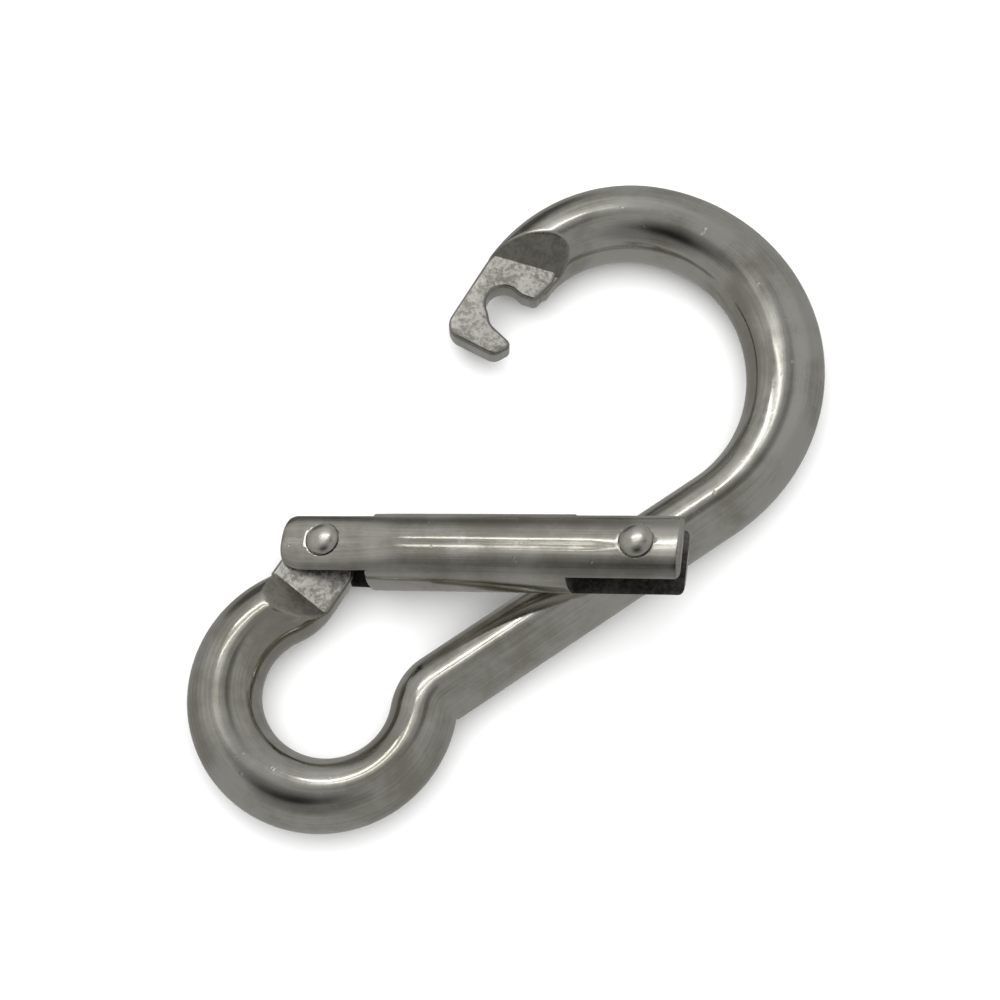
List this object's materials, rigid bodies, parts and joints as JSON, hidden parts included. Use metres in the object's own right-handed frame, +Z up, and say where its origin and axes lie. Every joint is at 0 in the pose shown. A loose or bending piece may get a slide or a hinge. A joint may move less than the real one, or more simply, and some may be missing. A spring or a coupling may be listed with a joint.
{
  "type": "spring snap hook",
  "caption": "Bent-bar snap hook with a captive rope eye and a sprung, riveted gate whose pin seats in the notched nose; shown gate open.",
  "frame": {"origin": "centre of the bounding box's bottom face, the hook lying flat", "axes": "+Z up, square to the hook's plane; the nose points towards -X -Y, the bow is on the +X +Y side and the eye on the -X -Y side"},
  "size_m": [0.0858, 0.0916, 0.0226],
  "materials": {
    "polished_bar": "polished stainless steel with fine scratches",
    "brushed_gate": "tumbled stainless steel",
    "rivet_steel": "peened stainless steel",
    "spring_steel": "bright spring wire and turned steel"
  },
  "bodies": {
    "hook": {"hook_body": "polished_bar"},
    "pivot": {"pivot_rivet": "rivet_steel"},
    "gate": {"gate": "brushed_gate", "latch_pin": "rivet_steel", "gate_spring": "spring_steel"},
    "plunger": {"spring_plunger": "spring_steel"}
  },
  "joints": [
    {"name": "rivet_tilt", "type": "hinge", "parent": "hook", "child": "pivot", "pos_m": [-0.02433, -0.00786, 0.0052], "axis": [0.4695, 0.8829, 0], "range_deg": [0, 17]},
    {"name": "gate_swing", "type": "hinge", "parent": "pivot", "child": "gate", "pos_m": [-0.02433, -0.00786, 0.0052], "axis": [-0.2581, 0.1373, 0.9563], "range_deg": [0, 63.2], "stiffness_Nm_per_rad": 0.02, "springref_deg": 91.67},
    {"name": "plunger_slide", "type": "slide", "parent": "gate", "child": "plunger", "axis": [-0.9574, 0.0964, -0.2723], "range_m": [0, 0.0012], "deforming": ["gate_spring"]}
  ],
  "couplings": [
    {"joint": "rivet_tilt", "follows": "gate_swing", "ratio": 0.26885},
    {"joint": "plunger_slide", "follows": "gate_swing", "m_per_rad": 0.001087}
  ]
}
